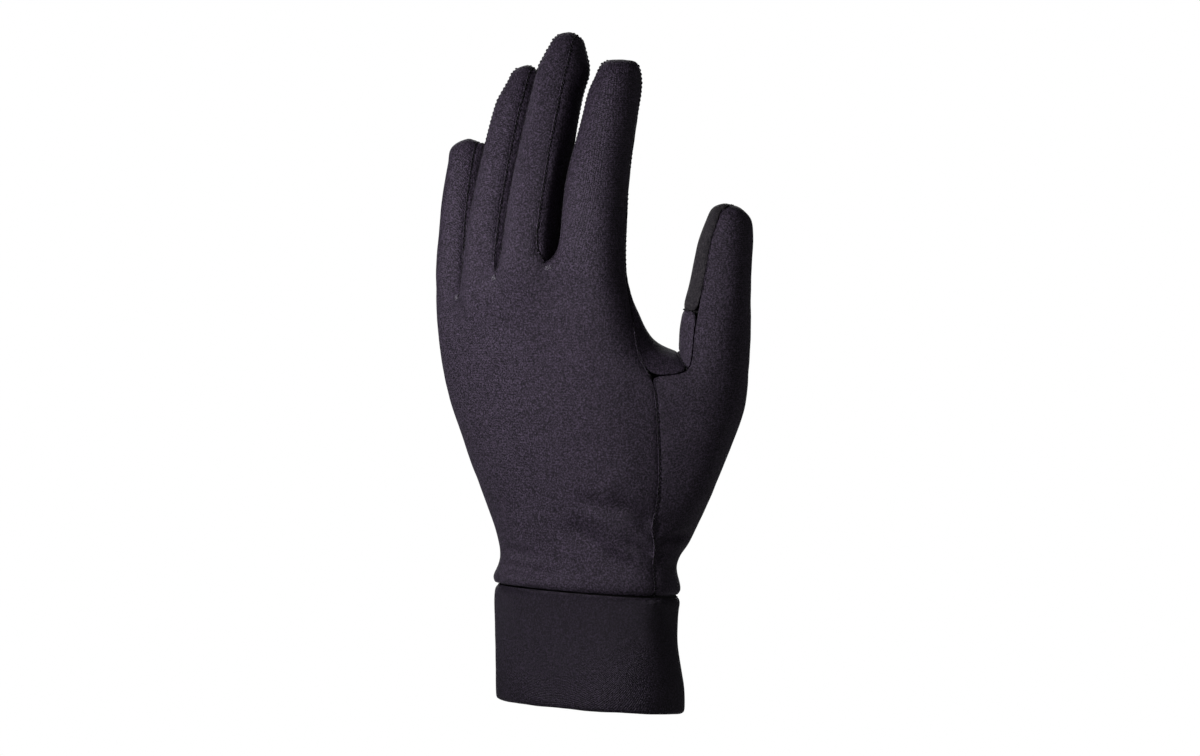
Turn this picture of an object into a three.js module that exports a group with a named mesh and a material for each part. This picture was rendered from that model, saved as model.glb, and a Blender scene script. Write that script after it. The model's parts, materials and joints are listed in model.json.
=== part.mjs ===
import * as THREE from 'three';

// Knit glove liner for a left hand, worn, fingers up. Millimetres, +Z up to the fingertips,
// +X to the thumb side, -Y out of the back of the hand, +Y out of the palm.
// The origin is the middle of the cuff opening.

// Cloth
const WALL = 1.2;
const SEAM_GAP = 0.3;

// Cuff band
const CUFF_TOP = 42.6;
const CUFF_LAYER = 1.0;
const CUFF_LAYER_GAP = 0.5;
const CUFF_COLUMNS = 40;
// The cuff hangs lower on the thumb side: drop per millimetre across, faded out above the wrist
const CUFF_TILT = 0.058;
const TILT_FADE = [46, 92];

// Columns of cloth between the seams
const FINGER_COLUMNS = [6, 5, 5, 5];
const FOURCHETTE_COLUMNS = 4;
const STEP_COLUMNS = 2;
const THUMB_COLUMNS = 7;

// Heights of the rings of cloth
const LOWER_ROWS = [43.1, 45.4, 48, 51, 54, 57, 60, 63, 66.5, 71, 77, 84, 91, 98, 105, 111, 117, 122];
const UPPER_ROWS = [128, 134, 140.5, 147, 153, 158];
const ROOT_LEVEL = 158;

// How the knit evens out over the hand
const RELAX_PASSES = 6;
const RELAX_OUT = 0.5;
const RELAX_BACK = -0.52;

const table = (columns, rows) => rows.map((row) =>
  Object.fromEntries(columns.map((column, index) => [column, row[index]])));

// Sections of the hand. The main oval has its middle, half width and depths to the back and palm.
// The lobe is the round mass of the thumb's root, or above the thumb the web and the index root.
// The seams are given by their direction from the oval's middle, in degrees, minus toward the back.
const SECTION_COLUMNS = ['z', 'middleX', 'middleY', 'halfWidth', 'backDepth', 'palmDepth',
  'lobeX', 'lobeY', 'lobeRadius', 'sideSeam', 'thenarSeam', 'ulnarSeam'];
const LOWER_SECTIONS = table(SECTION_COLUMNS, [
  [43.1, -1.6, 0.0, 36.8, 22.5, 22.5, 6, 3, 18, -12, 52, 176],
  [54.0, -1.0, -0.5, 36.0, 20.5, 21.0, 14.6, 5, 16, -11, 52, 176],
  [63.0, -2.8, -1.5, 35.8, 19.5, 20.5, 21, 8, 15, -7, 51, 177],
  [71.0, -4.6, -3.0, 36.3, 18.8, 20.0, 25, 10, 15, -4, 50, 178],
  [77.0, -5.9, -4.0, 37.0, 18.4, 19.7, 28, 11, 15, -2, 49, 179],
  [84.0, -7.5, -4.8, 38.2, 18.0, 19.4, 30.7, 12.5, 14.8, -1, 48, 180],
  [91.0, -9.2, -5.6, 39.4, 17.6, 19.0, 33.3, 14, 14.5, 0, 46, 180],
  [98.0, -10.8, -6.5, 40.2, 17.2, 18.6, 36.2, 15.3, 14.4, 0, 44, 180],
  [105.0, -12.3, -7.5, 40.9, 16.8, 18.2, 38.9, 16.6, 14.4, 1, 42, 180],
  [111.0, -13.8, -8.3, 41.6, 16.4, 17.8, 40.6, 17.3, 14.3, 1, 41, 180],
  [117.0, -15.0, -9.0, 42.0, 16.2, 17.4, 41.6, 17.6, 14.1, 1.5, 40, 180],
  [122.0, -15.7, -9.6, 42.0, 16.0, 17.0, 42.0, 17.8, 13.8, 1.5, 40, 180],
]);
const UPPER_SECTIONS = table(SECTION_COLUMNS, [
  [122.0, -15.7, -9.6, 42.0, 16.0, 17.0, 24.0, 2.0, 9.0, 1.5, 0, 180],
  [128.0, -16.3, -10.6, 41.7, 15.7, 16.6, 21.5, -0.5, 9.0, 2, 0, 180],
  [134.0, -16.9, -11.5, 41.2, 15.3, 16.1, 18.7, -3.0, 9.0, 5, 0, 180],
  [140.5, -17.5, -12.4, 40.8, 15.0, 15.6, 16.0, -5.5, 9.3, 6, 0, 180],
  [147.0, -18.0, -13.2, 39.7, 14.8, 15.2, 13.5, -8.0, 10.0, 8, 0, 180],
  [153.0, -19.0, -14.2, 39.5, 14.6, 15.0, 12.2, -10.0, 10.8, 11, 0, 180],
  [158.0, -19.8, -15.0, 39.6, 14.4, 14.8, 11.5, -11.5, 11.2, 15, 0, 180],
]);

// Share of the ring that each finger's root takes, from index to little finger
const ROOT_SHARES = [0.335, 0.225, 0.21, 0.23];
const PALM_SHARES = [0.31, 0.225, 0.215, 0.25];
// Just above the thumb the flank's columns take this share of the palm's ring
const FLANK_SHARE = 0.25;

// The hollow of the palm: heights over which it deepens, and the share of the palm from the
// thumb's root that stays full
const HOLLOW_HEIGHTS = [80, 118];
const HOLLOW_START = 0.42;

// Height of the finger roots above or below the root level, from the side seam to the ulnar seam
const ROOT_STEPS = [2.0, 4.0, 0.4, -7.3, -10.0];
const ROOT_STEP_START = 112;

// Crotches between the fingers, from index to little finger: end on the back and end on the palm
const CROTCHES = table(['x', 'backY', 'backZ', 'palmY', 'palmZ'], [
  [-1.2, -25.5, 162.0, -4.5, 162.5],
  [-23.2, -28.0, 158.2, -6.5, 159.0],
  [-43.5, -23.0, 150.8, -3.5, 152.0],
]);
const CROTCH_ARCH = 1.0;
// How far the rings below the crotches already follow the round finger roots
const ROOT_FOLLOW = [[140.5, 0], [147, 0.25], [153, 0.6], [158, 0.9]];

// Fingers: root and tip of the middle line, how far the line bows to the back,
// half width and half depth at root and tip, and the height of the round tip
const FINGERS = table(['rootX', 'rootY', 'rootZ', 'tipX', 'tipY', 'tipZ', 'bowX', 'bowY',
  'rootWidth', 'tipWidth', 'rootDepth', 'tipDepth', 'cap'], [
  [9.9, -11.6, 160, 9.4, 6.5, 237.4, -0.8, -7.0, 11.1, 9.5, 11.7, 9.8, 11],
  [-12.2, -22.0, 160, -8.9, 0.8, 247.2, -1.0, -5.5, 11.0, 8.9, 11.4, 9.2, 14],
  [-33.4, -18.0, 156, -30.4, 3.5, 235.0, -1.0, -5.5, 10.2, 7.9, 10.8, 8.5, 15],
  [-52.4, -9.0, 149, -55.0, 3.0, 208.0, -1.5, -4.0, 9.0, 8.0, 9.8, 8.2, 10],
]);
// Rings of a finger: shaft rings by share of the shaft, tip rings by share of the round tip
const SHAFT_RINGS = [0.085, 0.18, 0.30, 0.44, 0.59, 0.75, 0.90, 1.0];
const CAP_RINGS = [0.42, 0.72, 0.92];
const CAP_POWER = 2.25;
const TIP_SEAM_SHARE = 0.5;
// Seams round a finger, in degrees from the back toward the thumb side
const FINGER_SEAMS = table(['backThumbSide', 'backLittleSide', 'palmLittleSide', 'palmThumbSide'], [
  [124, -42, -136, -236],
  [44, -44, -136, -224],
  [44, -44, -136, -224],
  [44, -96, -96, -224],
]);
const INDEX_TOUCH_RING = 4;

// Thumb
const THUMB = {
  root: [41.0, 17.2, 118], tip: [48.4, 20.6, 184.5], bow: [-0.2, -0.6],
  rootRadius: 14.2, tipRadius: 9.7, cap: 12,
  outerStart: -92, outerEnd: 112,
};
const THUMB_RINGS = [128, 136.3, 144.6, 152.5, 160.5, 167.5, 173.5];
const THUMB_CAP_RINGS = [0.45, 0.75, 0.93];
const THUMB_TOUCH_RING = 2;
const WEB_RISE = 8.5;
const WEB_RISE_FADE = 20;
const WEB_BOW = [-4.6, -3.6];

// Folds and bulges of the cloth: from and to by direction round the hand (degrees) and height,
// height of the fold (minus for a crease) and how far it spreads
const FOLDS = table(['fromTurn', 'fromZ', 'toTurn', 'toZ', 'height', 'spread'], [
  [-180, 45.8, 180, 45.8, 0.9, 2.4],
  [140, 44.6, 240, 44.6, 2.0, 2.0],
  [-70, 52.5, 40, 53.0, -0.5, 2.4],
  [-50, 61.5, 30, 62.0, 1.5, 2.4],
  [-48, 66.8, 24, 66.8, -2.2, 2.2],
  [-30, 72.0, 25, 72.0, 0.3, 2.6],
  [-118, 66.0, -88, 54.0, -0.9, 2.6],
  [-112, 69.0, -78, 58.0, 0.8, 3.0],
  [-100, 76.0, -62, 61.0, -1.0, 3.0],
  [-92, 80.0, -56, 66.0, 0.9, 3.4],
  [60, 66.0, 130, 58.0, -0.9, 3.0],
  [50, 74.0, 120, 66.0, 0.8, 3.4],
]);

const mix = (from, to, share) => from + (to - from) * share;
const clamp = (value, low, high) => Math.min(high, Math.max(low, value));
const ease = (share) => {
  const s = clamp(share, 0, 1);
  return s * s * (3 - 2 * s);
};
const roundOff = (share) => (1 - share ** CAP_POWER) ** (1 / CAP_POWER);
const turn = (degrees) => degrees * Math.PI / 180;

const tilted = (x, z) => z - CUFF_TILT * x * (1 - ease((z - TILT_FADE[0]) / (TILT_FADE[1] - TILT_FADE[0])));

// Shared points of the cloth. Panels that meet in a seam use the same points.
const points = [];
const addPoint = (x, y, z, fixed = false) => {
  points.push({ at: new THREE.Vector3(x, y, z), normal: new THREE.Vector3(), fixed });
  return points.length - 1;
};

function sectionAt(sections, z) {
  let index = 0;
  while (index < sections.length - 2 && z > sections[index + 1].z) index += 1;
  const low = sections[index];
  const high = sections[index + 1];
  const share = clamp((z - low.z) / (high.z - low.z), 0, 1);
  return Object.fromEntries(SECTION_COLUMNS.map((column) => [column, mix(low[column], high[column], share)]));
}

// Outline of the cloth stretched round the main oval and the lobe
const OVAL_POWER = 2.25;
const OUTLINE_STEPS = 180;
function sectionOutline(section) {
  const outline = [];
  const dual = OVAL_POWER / (OVAL_POWER - 1);
  for (let step = 0; step < OUTLINE_STEPS; step += 1) {
    const angle = 2 * Math.PI * (step + 0.5) / OUTLINE_STEPS - Math.PI;
    const nx = Math.cos(angle);
    const ny = Math.sin(angle);
    const depth = ny < 0 ? section.backDepth : section.palmDepth;
    const wide = section.halfWidth * Math.abs(nx);
    const deep = depth * Math.abs(ny);
    const reach = (wide ** dual + deep ** dual) ** (1 / dual);
    const ovalReach = section.middleX * nx + section.middleY * ny + reach;
    const lobeReach = section.lobeX * nx + section.lobeY * ny + section.lobeRadius;
    if (ovalReach >= lobeReach) {
      outline.push([
        section.middleX + Math.sign(nx) * section.halfWidth * (wide / reach) ** (dual - 1),
        section.middleY + Math.sign(ny) * depth * (deep / reach) ** (dual - 1),
      ]);
    } else {
      outline.push([section.lobeX + section.lobeRadius * nx, section.lobeY + section.lobeRadius * ny]);
    }
  }
  return outline;
}

// Depth of the main oval's palm side at a place across the hand
function ovalDepthAt(section, x) {
  const across = Math.min(1, Math.abs(x - section.middleX) / section.halfWidth);
  return section.palmDepth * (1 - across ** OVAL_POWER) ** (1 / OVAL_POWER);
}

// Walks an outline: its length up to each point, the place at a length and the length at a direction
function outlineWalker(outline, middleX, middleY) {
  const lengths = [0];
  for (let index = 0; index < outline.length; index += 1) {
    const next = outline[(index + 1) % outline.length];
    lengths.push(lengths[index] + Math.hypot(next[0] - outline[index][0], next[1] - outline[index][1]));
  }
  const total = lengths[outline.length];
  const placeAt = (length) => {
    const wrapped = ((length % total) + total) % total;
    let index = 0;
    while (lengths[index + 1] < wrapped) index += 1;
    const share = (wrapped - lengths[index]) / (lengths[index + 1] - lengths[index]);
    const next = outline[(index + 1) % outline.length];
    return [mix(outline[index][0], next[0], share), mix(outline[index][1], next[1], share)];
  };
  const lengthAt = (degrees) => {
    const dx = Math.cos(turn(degrees));
    const dy = Math.sin(turn(degrees));
    for (let index = 0; index < outline.length; index += 1) {
      const from = outline[index];
      const to = outline[(index + 1) % outline.length];
      const sideFrom = dx * (from[1] - middleY) - dy * (from[0] - middleX);
      const sideTo = dx * (to[1] - middleY) - dy * (to[0] - middleX);
      const ahead = dx * (from[0] - middleX) + dy * (from[1] - middleY);
      if (sideFrom <= 0 && sideTo > 0 && ahead > 0) {
        return lengths[index] + (lengths[index + 1] - lengths[index]) * sideFrom / (sideFrom - sideTo);
      }
    }
    throw new Error('the seam direction misses the outline');
  };
  return { total, placeAt, lengthAt };
}

// Shares of a span for the columns of the four finger roots
function rootShares(shares) {
  const marks = [0];
  let start = 0;
  shares.forEach((share, finger) => {
    for (let column = 1; column <= FINGER_COLUMNS[finger]; column += 1) {
      marks.push(start + share * column / FINGER_COLUMNS[finger]);
    }
    start += share;
  });
  return marks;
}

const BACK_COLUMNS = FINGER_COLUMNS.reduce((sum, count) => sum + count, 0);
const FLANK_COLUMNS = STEP_COLUMNS + THUMB_COLUMNS;
const PALM_COLUMNS = BACK_COLUMNS - FLANK_COLUMNS;

function foldHeight(x, y, z, section) {
  const degrees = Math.atan2(y - section.middleY, x - section.middleX) * 180 / Math.PI;
  const radius = Math.hypot(x - section.middleX, y - section.middleY);
  let height = 0;
  for (const fold of FOLDS) {
    for (const lap of [-360, 0, 360]) {
      const along = (degrees + lap - fold.fromTurn) / (fold.toTurn - fold.fromTurn);
      const share = clamp(along, 0, 1);
      const beyond = Math.abs(along - share) * Math.abs(turn(fold.toTurn - fold.fromTurn)) * radius;
      const rise = z - mix(fold.fromZ, fold.toZ, share);
      const whole = fold.toTurn - fold.fromTurn >= 359;
      const taper = whole ? 1 : Math.sin(Math.PI * clamp(share, 0.02, 0.98)) ** 0.5;
      if (whole && along !== share) continue;
      const far = (rise / fold.spread) ** 2 + (beyond / 4) ** 2;
      if (far < 9) height += fold.height * taper * Math.exp(-far);
    }
  }
  return height;
}

function folded(place, z, section) {
  const height = foldHeight(place[0], place[1], z, section);
  const dx = place[0] - section.middleX;
  const dy = place[1] - section.middleY;
  const radius = Math.hypot(dx, dy);
  return [place[0] + dx / radius * height, place[1] + dy / radius * height];
}

// Ring below the thumb's crotch: back, palm and thumb columns
function lowerRing(z, first) {
  const section = sectionAt(LOWER_SECTIONS, z);
  const walker = outlineWalker(sectionOutline(section), section.middleX, section.middleY);
  const sideAt = walker.lengthAt(section.sideSeam);
  const thenarAt = walker.lengthAt(section.thenarSeam);
  const ulnarAt = walker.lengthAt(section.ulnarSeam > 180 ? section.ulnarSeam - 360 : section.ulnarSeam);
  const tuck = first ? 0.985 : 1;
  const span = (from, to, share) => {
    const length = to > from ? to - from : to - from + walker.total;
    return from + length * share;
  };
  const putAt = (spot) => {
    const place = folded(spot, z, section);
    const x = mix(section.middleX, place[0], tuck);
    return addPoint(x, mix(section.middleY, place[1], tuck), tilted(x, z), first);
  };
  const put = (length) => putAt(walker.placeAt(length));
  const back = rootShares(ROOT_SHARES).map((share) => put(span(ulnarAt, sideAt, 1 - share)));
  const thumb = [back[0]];
  for (let column = 1; column <= FLANK_COLUMNS; column += 1) {
    thumb.push(put(span(sideAt, thenarAt, column / FLANK_COLUMNS)));
  }
  const deepening = ease((z - HOLLOW_HEIGHTS[0]) / (HOLLOW_HEIGHTS[1] - HOLLOW_HEIGHTS[0]));
  const palm = [thumb[FLANK_COLUMNS]];
  for (let column = 1; column < PALM_COLUMNS; column += 1) {
    const share = column / PALM_COLUMNS;
    const stretched = walker.placeAt(span(thenarAt, ulnarAt, share));
    const ownY = section.middleY + ovalDepthAt(section, stretched[0]);
    const hollow = deepening * ease(share / HOLLOW_START);
    palm.push(putAt([stretched[0], mix(stretched[1], ownY, hollow)]));
  }
  palm.push(back[BACK_COLUMNS]);
  return { back, thumb, palm };
}

// Step of a ring's height across the finger roots
function rootStep(column, z) {
  const marks = [0];
  FINGER_COLUMNS.forEach((count) => marks.push(marks[marks.length - 1] + count));
  let finger = 0;
  while (finger < 3 && column > marks[finger + 1]) finger += 1;
  const share = (column - marks[finger]) / FINGER_COLUMNS[finger];
  const step = mix(ROOT_STEPS[finger], ROOT_STEPS[finger + 1], share);
  return step * ease((z - ROOT_STEP_START) / (ROOT_LEVEL - ROOT_STEP_START));
}

// Shares of the palm's columns, which drift from the thumb's crotch to the finger roots
function palmShares(z) {
  const start = LOWER_ROWS[LOWER_ROWS.length - 1];
  const drift = clamp((z - start) / (ROOT_LEVEL - start), 0, 1);
  return rootShares(PALM_SHARES).map((share, column) => {
    const early = column <= FLANK_COLUMNS
      ? FLANK_SHARE * column / FLANK_COLUMNS
      : mix(FLANK_SHARE, 1, (column - FLANK_COLUMNS) / PALM_COLUMNS);
    return mix(early, share, drift);
  });
}

function followAt(z) {
  let index = 0;
  while (index < ROOT_FOLLOW.length - 2 && z > ROOT_FOLLOW[index + 1][0]) index += 1;
  const [low, high] = [ROOT_FOLLOW[index], ROOT_FOLLOW[index + 1]];
  return mix(low[1], high[1], clamp((z - low[0]) / (high[0] - low[0]), 0, 1));
}

// Place of a column on the round finger roots, seen from above
function rootPlace(column, onPalm) {
  let finger = 0;
  let start = 0;
  while (column > start + FINGER_COLUMNS[finger]) {
    start += FINGER_COLUMNS[finger];
    finger += 1;
  }
  const local = column - start;
  if (local === FINGER_COLUMNS[finger] && finger < CROTCHES.length) {
    const crotchSpot = CROTCHES[finger];
    return [crotchSpot.x, onPalm ? crotchSpot.palmY : crotchSpot.backY];
  }
  const seams = FINGER_SEAMS[finger];
  const from = onPalm ? seams.palmThumbSide : seams.backThumbSide;
  const to = onPalm ? seams.palmLittleSide : seams.backLittleSide;
  const ring = fingerRing(FINGERS[finger], 0, [1, 1]);
  const degrees = mix(from, to, local / FINGER_COLUMNS[finger]);
  const place = limbPlace(ring.frame, ring.halfWidth, ring.halfDepth,
    Math.sin(turn(degrees)), Math.cos(turn(degrees)));
  return [place.x, place.y];
}

// Ring between the thumb's crotch and the finger roots: back and palm columns only
function upperRing(z) {
  const section = sectionAt(UPPER_SECTIONS, z);
  const walker = outlineWalker(sectionOutline(section), section.middleX, section.middleY);
  const sideAt = walker.lengthAt(section.sideSeam);
  const ulnarAt = walker.lengthAt(section.ulnarSeam > 180 ? section.ulnarSeam - 360 : section.ulnarSeam);
  const span = (from, to, share) => {
    const length = to > from ? to - from : to - from + walker.total;
    return from + length * share;
  };
  const webShare = clamp((z - LOWER_ROWS[LOWER_ROWS.length - 1]) / WEB_RISE_FADE, 0, 1);
  const follow = followAt(z);
  const put = (length, column, rise, onPalm) => {
    const place = walker.placeAt(length);
    const root = rootPlace(column, onPalm);
    return addPoint(mix(place[0], root[0], follow), mix(place[1], root[1], follow),
      z + rootStep(column, z) + rise);
  };
  const back = rootShares(ROOT_SHARES).map((share, column) =>
    put(span(ulnarAt, sideAt, 1 - share), column, 0, false));
  const palm = [];
  palmShares(z).forEach((share, column) => {
    if (column === 0) palm.push(back[0]);
    else if (column === BACK_COLUMNS) palm.push(back[BACK_COLUMNS]);
    else {
      const web = clamp((column - STEP_COLUMNS) / THUMB_COLUMNS, 0, 1);
      const rise = 0.62 * WEB_RISE * Math.sin(Math.PI * web) * (1 - ease(webShare));
      palm.push(put(span(sideAt, ulnarAt, share), column, rise, true));
    }
  });
  return { back, palm };
}

// Middle line of a finger or thumb and the frame of the ring at a share of its length
function limbFrame(root, control, tip, share) {
  const at = new THREE.Vector3();
  const along = new THREE.Vector3();
  for (const axis of ['x', 'y', 'z']) {
    const a = root[axis];
    const b = control[axis];
    const c = tip[axis];
    at[axis] = (1 - share) ** 2 * a + 2 * share * (1 - share) * b + share ** 2 * c;
    along[axis] = 2 * (1 - share) * (b - a) + 2 * share * (c - b);
  }
  along.normalize();
  const side = new THREE.Vector3(1, 0, 0).addScaledVector(along, -along.x).normalize();
  const palmward = new THREE.Vector3().crossVectors(along, side);
  return { at, side, palmward };
}

const LIMB_POWER = 2.15;
function limbPlace(frame, halfWidth, halfDepth, sideways, backward) {
  const size = (Math.abs(sideways) ** LIMB_POWER + Math.abs(backward) ** LIMB_POWER) ** (1 / LIMB_POWER);
  return frame.at.clone()
    .addScaledVector(frame.side, halfWidth * sideways / size)
    .addScaledVector(frame.palmward, -halfDepth * backward / size);
}

function fingerRing(finger, share, swell) {
  const root = new THREE.Vector3(finger.rootX, finger.rootY, finger.rootZ);
  const tip = new THREE.Vector3(finger.tipX, finger.tipY, finger.tipZ);
  const control = root.clone().lerp(tip, 0.5).add(new THREE.Vector3(finger.bowX, finger.bowY, 0));
  const frame = limbFrame(root, control, tip, share);
  const narrowing = ease(share) * 0.5 + share * 0.5;
  return {
    frame,
    halfWidth: mix(finger.rootWidth, finger.tipWidth, narrowing) * swell[0],
    halfDepth: mix(finger.rootDepth, finger.tipDepth, narrowing) * swell[1],
  };
}

// Strips of one finger from its first free ring to the tip
function buildFinger(index, rootRow, webs) {
  const finger = FINGERS[index];
  const seams = FINGER_SEAMS[index];
  const length = finger.tipZ - finger.rootZ;
  const capStart = 1 - finger.cap / length;
  const rings = [
    ...SHAFT_RINGS.map((share) => ({ share: share * capStart, width: 1, depth: 1 })),
    ...CAP_RINGS.map((share) => ({
      share: mix(capStart, 1, share),
      width: roundOff(share * (1 - TIP_SEAM_SHARE * 0.3)),
      depth: roundOff(share),
    })),
  ];
  const columns = FINGER_COLUMNS[index];
  const strips = {
    back: [rootRow.back], palm: [rootRow.palm], thumbSide: [], littleSide: [],
  };
  if (index > 0) strips.thumbSide.push(webs[index - 1]);
  if (index < 3) strips.littleSide.push(webs[index]);
  const arc = (ring, from, to, count) => {
    const ids = [];
    for (let column = 0; column <= count; column += 1) {
      const degrees = mix(from, to, column / count);
      const place = limbPlace(ring.frame, ring.halfWidth, ring.halfDepth,
        Math.sin(turn(degrees)), Math.cos(turn(degrees)));
      ids.push(addPoint(place.x, place.y, place.z));
    }
    return ids;
  };
  for (const mark of rings) {
    const ring = fingerRing(finger, mark.share, [mark.width, mark.depth]);
    const back = arc(ring, seams.backThumbSide, seams.backLittleSide, columns);
    const palmIds = arc(ring, seams.palmThumbSide, seams.palmLittleSide, columns);
    if (index === 0) palmIds[0] = back[0];
    if (index === 3) palmIds[columns] = back[columns];
    if (index < 3) {
      const side = arc(ring, seams.backLittleSide, seams.palmLittleSide, FOURCHETTE_COLUMNS);
      side[0] = back[columns];
      side[FOURCHETTE_COLUMNS] = palmIds[columns];
      strips.littleSide.push(side);
    }
    if (index > 0) {
      const side = arc(ring, seams.backThumbSide, seams.palmThumbSide + 360, FOURCHETTE_COLUMNS);
      side[0] = back[0];
      side[FOURCHETTE_COLUMNS] = palmIds[0];
      strips.thumbSide.push(side);
    }
    strips.back.push(back);
    strips.palm.push(palmIds);
  }
  const end = fingerRing(finger, 1, [1, 1]);
  const seam = [];
  for (let column = 0; column <= columns; column += 1) {
    const sideways = mix(1, -1, column / columns) * TIP_SEAM_SHARE * end.halfWidth;
    const droop = 1.1 * (2 * column / columns - 1) ** 2;
    const place = end.frame.at.clone().addScaledVector(end.frame.side, sideways);
    seam.push(addPoint(place.x, place.y, place.z - droop, true));
  }
  strips.back.push(seam);
  strips.palm.push(seam);
  if (index < 3) strips.littleSide.push(Array(FOURCHETTE_COLUMNS + 1).fill(seam[columns]));
  if (index > 0) strips.thumbSide.push(Array(FOURCHETTE_COLUMNS + 1).fill(seam[0]));
  return strips;
}

// Web between two fingers, from the crotch on the back to the crotch on the palm
function buildWeb(backId, palmId, crotchSpot) {
  const from = points[backId].at.set(crotchSpot.x, crotchSpot.backY, crotchSpot.backZ);
  const to = points[palmId].at.set(crotchSpot.x, crotchSpot.palmY, crotchSpot.palmZ);
  points[backId].fixed = true;
  points[palmId].fixed = true;
  const web = [backId];
  for (let column = 1; column < FOURCHETTE_COLUMNS; column += 1) {
    const share = column / FOURCHETTE_COLUMNS;
    const place = from.clone().lerp(to, share);
    web.push(addPoint(place.x, place.y, place.z + CROTCH_ARCH * Math.sin(Math.PI * share), true));
  }
  web.push(palmId);
  return web;
}

// Hand
const lower = LOWER_ROWS.map((z, index) => lowerRing(z, index === 0));
const upper = UPPER_ROWS.map((z) => upperRing(z));
const lastLower = lower[lower.length - 1];

// Crotch of the thumb: along the step seam, then over the web to the palm side
const crotch = lastLower.thumb.slice(0, STEP_COLUMNS + 1);
{
  const from = points[lastLower.thumb[STEP_COLUMNS]].at;
  const to = points[lastLower.thumb[FLANK_COLUMNS]].at;
  for (let column = 1; column < THUMB_COLUMNS; column += 1) {
    const share = column / THUMB_COLUMNS;
    const place = from.clone().lerp(to, share);
    const bow = Math.sin(Math.PI * share);
    crotch.push(addPoint(place.x + WEB_BOW[0] * bow, place.y + WEB_BOW[1] * bow, place.z + WEB_RISE * bow ** 0.7));
  }
  crotch.push(lastLower.thumb[FLANK_COLUMNS]);
}

// Finger roots on the last ring of the hand
const rootRing = upper[upper.length - 1];
const rootMarks = [0];
FINGER_COLUMNS.forEach((count) => rootMarks.push(rootMarks[rootMarks.length - 1] + count));
const webs = CROTCHES.map((crotchSpot, index) => {
  const mark = rootMarks[index + 1];
  return buildWeb(rootRing.back[mark], rootRing.palm[mark], crotchSpot);
});
const fingers = FINGERS.map((finger, index) => buildFinger(index, {
  back: rootRing.back.slice(rootMarks[index], rootMarks[index + 1] + 1),
  palm: rootRing.palm.slice(rootMarks[index], rootMarks[index + 1] + 1),
}, webs));

// Thumb
function buildThumb() {
  const root = new THREE.Vector3(...THUMB.root);
  const tip = new THREE.Vector3(...THUMB.tip);
  const control = root.clone().lerp(tip, 0.5).add(new THREE.Vector3(THUMB.bow[0], THUMB.bow[1], 0));
  const length = tip.z - root.z;
  const outer = [lastLower.thumb.slice(STEP_COLUMNS)];
  const inner = [crotch.slice(STEP_COLUMNS)];
  const capStart = tip.z - THUMB.cap;
  const rings = [
    ...THUMB_RINGS.map((z) => ({ z, swell: 1 })),
    ...THUMB_CAP_RINGS.map((share) => ({ z: capStart + THUMB.cap * share, swell: roundOff(share), share })),
  ];
  const fade = (z) => 1 - ease((z - LOWER_ROWS[LOWER_ROWS.length - 1]) / WEB_RISE_FADE);
  const place = (ring, degrees, rise) => {
    const frame = limbFrame(root, control, tip, (ring.z - root.z) / length);
    const radius = mix(THUMB.rootRadius, THUMB.tipRadius, ease((ring.z - root.z) / length));
    const wide = ring.share ? roundOff(ring.share * 0.85) : 1;
    const spot = limbPlace(frame, radius * wide, radius * ring.swell, Math.cos(turn(degrees)), -Math.sin(turn(degrees)));
    return addPoint(spot.x, spot.y, spot.z + rise * fade(ring.z));
  };
  for (const ring of rings) {
    const outerIds = [];
    const innerIds = [];
    for (let column = 0; column <= THUMB_COLUMNS; column += 1) {
      outerIds.push(place(ring, mix(THUMB.outerStart, THUMB.outerEnd, column / THUMB_COLUMNS), 0));
    }
    for (let column = 0; column <= THUMB_COLUMNS; column += 1) {
      if (column === 0) innerIds.push(outerIds[0]);
      else if (column === THUMB_COLUMNS) innerIds.push(outerIds[THUMB_COLUMNS]);
      else {
        const share = column / THUMB_COLUMNS;
        const degrees = mix(THUMB.outerStart, THUMB.outerEnd - 360, share);
        innerIds.push(place(ring, degrees, 0.55 * WEB_RISE * Math.sin(Math.PI * share)));
      }
    }
    outer.push(outerIds);
    inner.push(innerIds);
  }
  const seam = [];
  for (let column = 0; column <= THUMB_COLUMNS; column += 1) {
    const across = mix(-1, 1, column / THUMB_COLUMNS) * 0.5 * THUMB.tipRadius;
    const droop = 1.1 * (2 * column / THUMB_COLUMNS - 1) ** 2;
    const direction = turn((THUMB.outerStart + THUMB.outerEnd) / 2 + 90);
    seam.push(addPoint(tip.x + Math.cos(direction) * across, tip.y + Math.sin(direction) * across,
      tip.z - droop, true));
  }
  outer.push(seam);
  inner.push(seam);
  return { outer, inner };
}
const thumb = buildThumb();

// Cells of cloth, turned so that they face out
const cells = {};
function addGrid(name, rows, flip = false) {
  const list = cells[name] ?? (cells[name] = []);
  for (let row = 0; row + 1 < rows.length; row += 1) {
    for (let column = 0; column + 1 < rows[row].length; column += 1) {
      const cell = [rows[row][column], rows[row][column + 1], rows[row + 1][column + 1], rows[row + 1][column]];
      list.push(flip ? cell.reverse() : cell);
    }
  }
}

const backRows = [...lower.map((ring) => ring.back), ...upper.map((ring) => ring.back)];
addGrid('back_panel', backRows, true);
fingers.forEach((strips) => addGrid('back_panel', strips.back, true));

// The palm's rows start at the side seam; the first row above the thumb starts on its crotch
const lowerPalm = lower.map((ring) => ring.palm);
addGrid('palm_panel', lowerPalm);
const palmStart = [...crotch, ...lastLower.palm.slice(1)];
addGrid('palm_panel', [palmStart, ...upper.map((ring) => ring.palm)]);
fingers.forEach((strips, index) => {
  if (index > 0) addGrid('palm_panel', strips.palm);
  else {
    addGrid('palm_panel', strips.palm.slice(0, INDEX_TOUCH_RING + 1));
    addGrid('index_touch_panel', strips.palm.slice(INDEX_TOUCH_RING));
  }
});

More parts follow.
